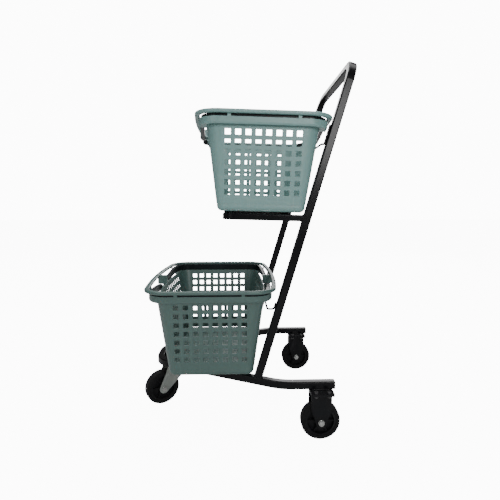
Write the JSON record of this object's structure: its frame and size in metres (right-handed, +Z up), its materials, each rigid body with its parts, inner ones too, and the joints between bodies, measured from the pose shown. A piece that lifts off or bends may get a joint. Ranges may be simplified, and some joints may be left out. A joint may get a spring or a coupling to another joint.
{
  "type": "two-tier basket trolley",
  "caption": "Light wheeled trolley whose bent-tube base and leaning handle hoop carry lift-out hand baskets on a deck and a shelf.",
  "frame": {"origin": "bottom centre of the bounding box, on the floor", "axes": "+Z up, -X the way the trolley travels (front caster), +X the handle, -Y the left side"},
  "size_m": [0.5708, 0.497, 0.9467],
  "materials": {
    "frame_black": "gloss black powder coat",
    "fork_black": "satin black coat",
    "zinc": "bright zinc plate",
    "fastener_zinc": "bright zinc plate",
    "tyre": "matt black rubber",
    "hub_black": "moulded, satin",
    "cap_black": "moulded, satin",
    "basket_upper_green": "moulded polypropylene, soft sheen",
    "basket_lower_green": "moulded polypropylene, soft sheen",
    "bail_black": "moulded polypropylene, satin"
  },
  "bodies": {
    "frame": {"base_tube": "frame_black", "handle_hoop": "frame_black", "rail_end_caps": "cap_black", "shelf_frame": "frame_black", "shelf_rear_bar": "frame_black", "shelf_wires": "frame_black", "deck_rods": "frame_black", "deck_tie_rods": "frame_black", "upper_backrest": "frame_black", "lower_backrest": "frame_black", "rear_mount_plates": "frame_black", "front_mount_plate": "frame_black", "plate_bolts": "fastener_zinc", "plate_nuts": "fastener_zinc", "rear_fork_left": "fork_black", "rear_fork_right": "fork_black", "rear_axle_bolts": "fastener_zinc", "rear_axle_nuts": "fastener_zinc", "rear_axle_sleeves": "fastener_zinc", "swivel_plate": "zinc", "kingpin": "fastener_zinc", "swivel_balls": "fastener_zinc"},
    "front_caster": {"front_fork": "zinc", "front_axle_bolt": "fastener_zinc", "front_axle_nut": "fastener_zinc", "front_axle_sleeve": "fastener_zinc"},
    "front_wheel": {"front_tyre": "tyre", "front_hub": "hub_black"},
    "rear_wheel_left": {"rear_tyre_left": "tyre", "rear_hub_left": "hub_black"},
    "rear_wheel_right": {"rear_tyre_right": "tyre", "rear_hub_right": "hub_black"},
    "upper_basket": {"upper_basket": "basket_upper_green"},
    "upper_bail_left": {"upper_bail_left": "bail_black"},
    "upper_bail_right": {"upper_bail_right": "bail_black"},
    "lower_basket": {"lower_basket": "basket_lower_green"},
    "lower_bail_left": {"lower_bail_left": "bail_black"},
    "lower_bail_right": {"lower_bail_right": "bail_black"}
  },
  "joints": [
    {"name": "front_swivel", "type": "hinge", "parent": "frame", "child": "front_caster", "pos_m": [-0.20429, 0, 0.118], "axis": [0, 0, 1], "continuous": true},
    {"name": "front_roll", "type": "hinge", "parent": "front_caster", "child": "front_wheel", "pos_m": [-0.23719, -0.019, 0.05], "axis": [-0.5, 0.866, 0], "continuous": true},
    {"name": "rear_roll_left", "type": "hinge", "parent": "frame", "child": "rear_wheel_left", "pos_m": [0.20171, -0.2115, 0.05], "axis": [0, 1, 0], "continuous": true},
    {"name": "rear_roll_right", "type": "hinge", "parent": "frame", "child": "rear_wheel_right", "pos_m": [0.20171, 0.2115, 0.05], "axis": [0, 1, 0], "continuous": true},
    {"name": "upper_basket_lift", "type": "slide", "parent": "frame", "child": "upper_basket", "axis": [0, 0, 1], "range_m": [0, 0.25]},
    {"name": "lower_basket_draw", "type": "slide", "parent": "frame", "child": "lower_basket", "axis": [-0.9397, 0, 0.342], "range_m": [0, 0.3]},
    {"name": "upper_bail_left_hinge", "type": "hinge", "parent": "upper_basket", "child": "upper_bail_left", "pos_m": [0.05541, -0.034, 0.77623], "axis": [-0.9997, 0, 0.0262], "range_deg": [0, 88]},
    {"name": "upper_bail_right_hinge", "type": "hinge", "parent": "upper_basket", "child": "upper_bail_right", "pos_m": [0.05541, 0.034, 0.77623], "axis": [0.9997, 0, -0.0262], "range_deg": [0, 88]},
    {"name": "lower_bail_left_hinge", "type": "hinge", "parent": "lower_basket", "child": "lower_bail_left", "pos_m": [-0.07529, -0.034, 0.3593], "axis": [-1, 0, 0], "range_deg": [0, 88]},
    {"name": "lower_bail_right_hinge", "type": "hinge", "parent": "lower_basket", "child": "lower_bail_right", "pos_m": [-0.07529, 0.034, 0.3593], "axis": [1, 0, 0], "range_deg": [0, 88]}
  ]
}
